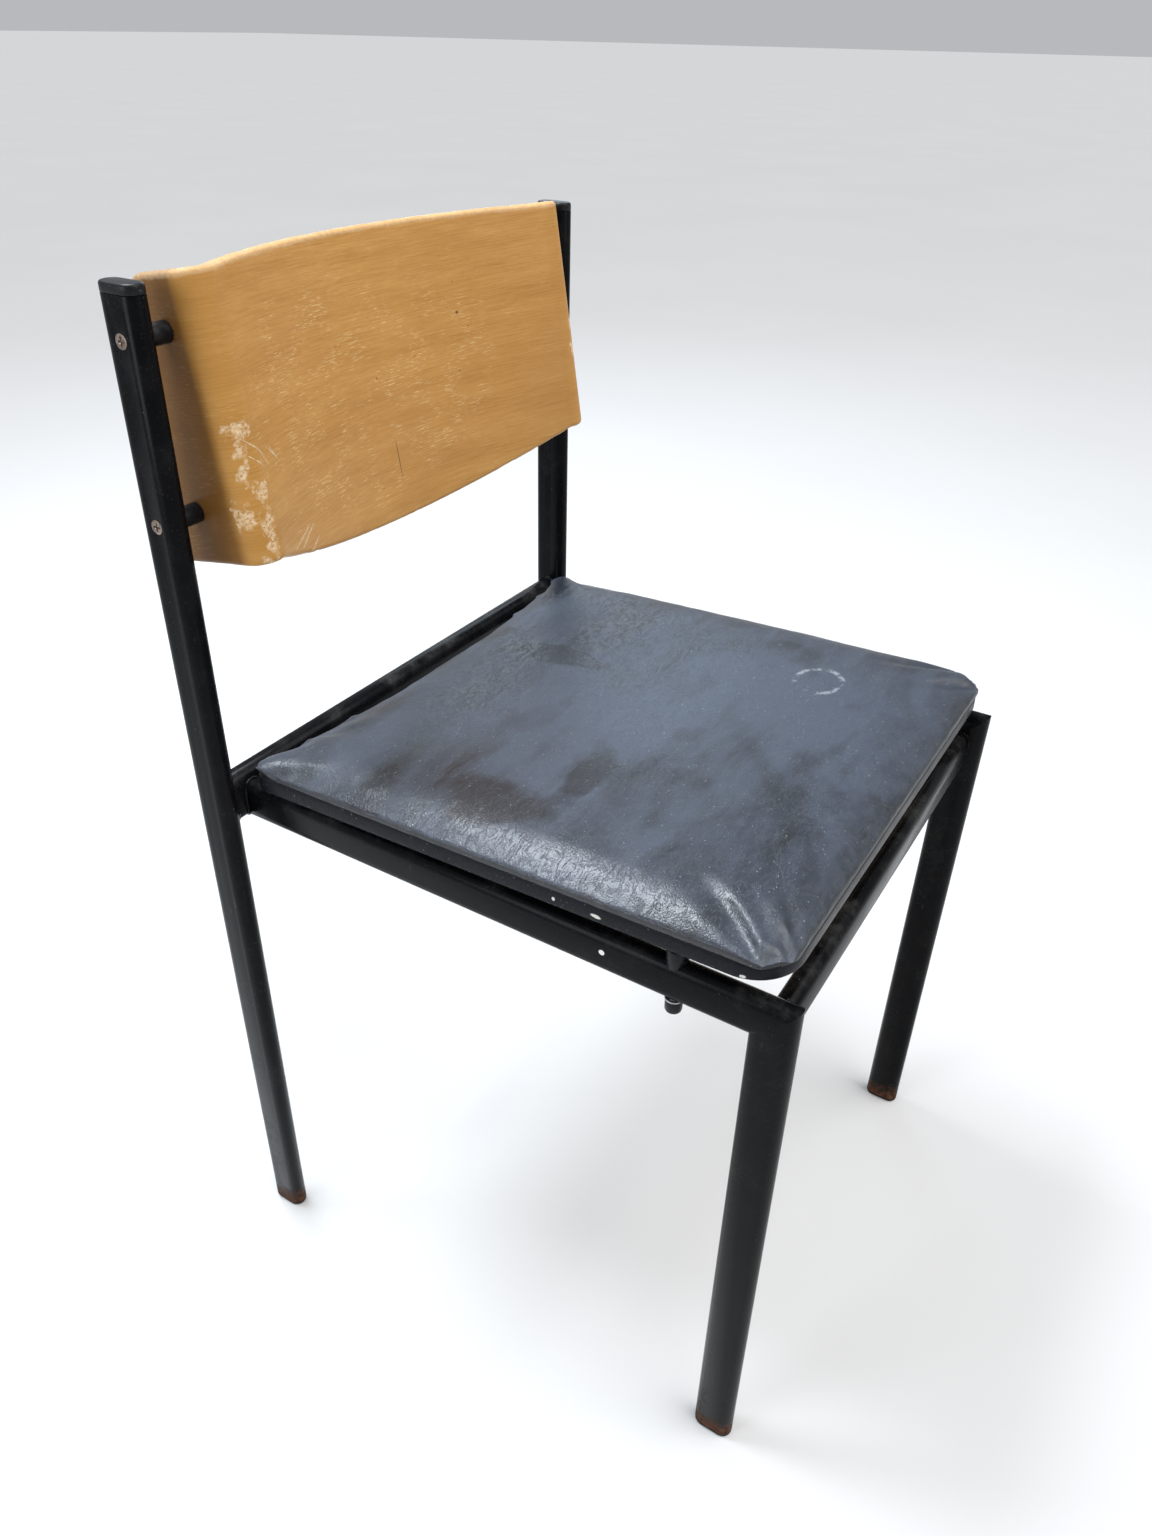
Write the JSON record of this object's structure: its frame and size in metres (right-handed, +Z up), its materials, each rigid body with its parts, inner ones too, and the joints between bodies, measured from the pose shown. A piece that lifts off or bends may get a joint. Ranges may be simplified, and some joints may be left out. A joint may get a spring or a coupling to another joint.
{
  "type": "side chair",
  "caption": "Side chair with a welded flat-oval steel tube frame, a bent plywood backrest between the rear uprights and a vinyl-covered seat pad bolted to the side rails.",
  "frame": {"origin": "on the floor, under the middle of the chair's width and depth", "axes": "+Z up, +Y towards the back of the chair, +X towards the sitter's left; the sitter faces -Y"},
  "size_m": [0.45, 0.467, 0.7906],
  "materials": {
    "frame_lacquer": "semi-gloss black lacquer with dust, small chips and scratches",
    "black_plastic": "satin black plastic",
    "beech_ply": "honey-coloured clear lacquer, scratched, pale worn edges",
    "raw_ply": "unfinished plywood",
    "foam": "open-cell foam, yellowed",
    "vinyl": "black grained vinyl with a dusty blue-grey sheen",
    "rusty_steel": "dull steel with brown rust",
    "zinc_steel": "zinc-plated steel"
  },
  "bodies": {
    "root": {"back_nut_lower_left": "zinc_steel", "back_nut_lower_right": "zinc_steel", "back_nut_upper_left": "zinc_steel", "back_nut_upper_right": "zinc_steel", "back_screw_lower_left": "rusty_steel", "back_screw_lower_right": "rusty_steel", "back_screw_upper_left": "rusty_steel", "back_screw_upper_right": "rusty_steel", "back_spacer_lower_left": "black_plastic", "back_spacer_lower_right": "black_plastic", "back_spacer_upper_left": "black_plastic", "back_spacer_upper_right": "black_plastic", "back_washer_lower_left": "zinc_steel", "back_washer_lower_right": "zinc_steel", "back_washer_upper_left": "zinc_steel", "back_washer_upper_right": "zinc_steel", "backrest_panel": "beech_ply", "foot_plug_front_left": "black_plastic", "foot_plug_front_right": "black_plastic", "foot_plug_rear_left": "black_plastic", "foot_plug_rear_right": "black_plastic", "front_crossbar": "frame_lacquer", "front_leg_left": "frame_lacquer", "front_leg_right": "frame_lacquer", "rear_crossbar": "frame_lacquer", "rear_upright_left": "frame_lacquer", "rear_upright_right": "frame_lacquer", "seat_board": "raw_ply", "seat_cover": "vinyl", "seat_foam": "foam", "seat_front_cap_nut_left": "black_plastic", "seat_front_cap_nut_right": "black_plastic", "seat_front_spacer_left": "black_plastic", "seat_front_spacer_right": "black_plastic", "seat_front_stud_left": "zinc_steel", "seat_front_stud_right": "zinc_steel", "seat_front_washer_left": "zinc_steel", "seat_front_washer_right": "zinc_steel", "seat_rear_screw_left": "zinc_steel", "seat_rear_screw_right": "zinc_steel", "side_rail_left": "frame_lacquer", "side_rail_right": "frame_lacquer", "upright_cap_left": "black_plastic", "upright_cap_right": "black_plastic"}
  },
  "joints": []
}
